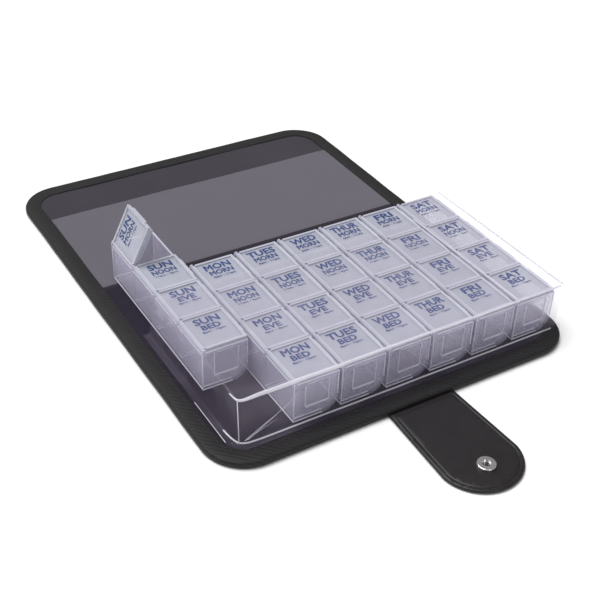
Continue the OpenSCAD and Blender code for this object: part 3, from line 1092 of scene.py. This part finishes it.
# ---- Strap ----
# Two layers of leatherette over a thin filler, sewn all round and widening to a round tip. A shallow
# seam runs inside the edge, and the middle is slightly padded.
strap_low, strap_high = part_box("strap_tip")
root_low, root_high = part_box("strap_root")
strap_x = (root_low.x + root_high.x) / 2
strap_middle = (root_low.z + root_high.z) / 2
tip_radius = (strap_high.x - strap_low.x) / 2
tip_y = strap_low.y + tip_radius
tip_fold = pivots["strap_tip_fold"]
root_half = 21 * MM
strap_step = 2.2 * MM
cap = sum(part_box("snap_cap"), Vector()) / 2
cap_bed_radius = 8.4 * MM
cap_bed_slope = 2 * MM
cap_bed_depth = 0.55 * MM
# Each step goes inwards from the edge and up: rolled edge, sewn groove, padded middle.
strap_rise = [
    (0.25, 0.55),
    (0.45, 0.4),
    (1.6, 0.15),
    (0.5, -0.3),
    (0.5, 0.3),
    (3.0, 0.08),
    (4.0, 0.02),
]


def strap_outline_face(bm):
    """One flat face: a half-round tip whose straight side is drawn out to the case."""
    bmesh.ops.create_circle(bm, segments=56, radius=tip_radius, cap_ends=True)
    cut = bmesh.ops.bisect_plane(
        bm,
        geom=everything(bm),
        plane_co=(0, 0, 0),
        plane_no=(0, 1, 0),
        dist=1e-7,
        clear_outer=True,
    )["geom_cut"]
    made = bmesh.ops.extrude_edge_only(bm, edges=edges_of(cut))["geom"]
    ends = verts_of(made)
    bmesh.ops.translate(bm, verts=ends, vec=(0, front_edge - tip_y, 0))
    bmesh.ops.scale(bm, verts=ends, vec=(root_half / tip_radius, 1, 1))
    bmesh.ops.dissolve_faces(bm, faces=bm.faces[:], use_verts=True)
    bmesh.ops.translate(bm, verts=bm.verts, vec=(strap_x, tip_y, strap_middle))


def widest_face(bm):
    return max(bm.faces, key=lambda f: f.calc_area())


def strap_body():
    """The strap as a closed form, the same on both faces but for the bed of the snap's cap."""
    bm = bmesh.new()
    strap_outline_face(bm)
    for inward, lift in strap_rise:
        bmesh.ops.inset_region(
            bm,
            faces=[widest_face(bm)],
            thickness=inward * MM,
            use_even_offset=True,
            use_boundary=True,
        )
        bmesh.ops.translate(bm, verts=widest_face(bm).verts, vec=(0, 0, lift * MM))
    mirrored = bmesh.ops.duplicate(bm, geom=bm.faces[:])["geom"]
    verts = verts_of(mirrored)
    bmesh.ops.translate(bm, verts=verts, vec=(0, 0, -strap_middle))
    bmesh.ops.scale(bm, verts=verts, vec=(1, 1, -1))
    bmesh.ops.translate(bm, verts=verts, vec=(0, 0, strap_middle))
    bmesh.ops.remove_doubles(bm, verts=bm.verts, dist=0.01 * MM)
    cut_across(bm, 1, strap_low.y, front_edge, strap_step)
    cut_across(bm, 0, strap_low.x, strap_x + tip_radius, strap_step)
    for v in bm.verts:
        away = math.hypot(v.co.x - cap.x, v.co.y - cap.y)
        pressed = share((cap_bed_radius - away) / cap_bed_slope)
        if v.co.z < strap_middle:
            v.co.z = max(v.co.z, pressed * cap_bed_depth)
    bmesh.ops.recalc_face_normals(bm, faces=bm.faces)
    return bm


strap_split = (front_edge + tip_fold.y) / 2
for part, keep in (("strap_lower", 1), ("strap_upper", -1)):
    bm = strap_body()
    cut = bmesh.ops.bisect_plane(
        bm,
        geom=everything(bm),
        plane_co=(0, strap_split, 0),
        plane_no=(0, -keep, 0),
        dist=1e-7,
        clear_outer=True,
    )["geom_cut"]
    bmesh.ops.contextual_create(bm, geom=edges_of(cut))
    piece = made_piece(bm, part, black_leatherette, 50)
    if part == "strap_lower":
        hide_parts("strap_root")
        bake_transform(piece)
    else:
        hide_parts("strap_tip")
        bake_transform(piece)

# ---- Snap ----
# A nickel-plated snap: the socket with its rolled lip and the cap under it are riveted through the
# strap's tip, and the stud stands in the cover's outer face, held by an eyelet under the lining.
nickel, shader = new_finish("nickel", (0.72, 0.7, 0.71), 0.2)
shader.inputs["Metallic"].default_value = 1.0
rubbed = spread(nickel, mottle(nickel, 600.0, 4.0), 0.14, 0.34)
feed(nickel, rubbed, shader, "Roughness")
for metal in ("snap_socket", "snap_cap", "snap_stud", "snap_eyelet"):
    repaint(metal, nickel)
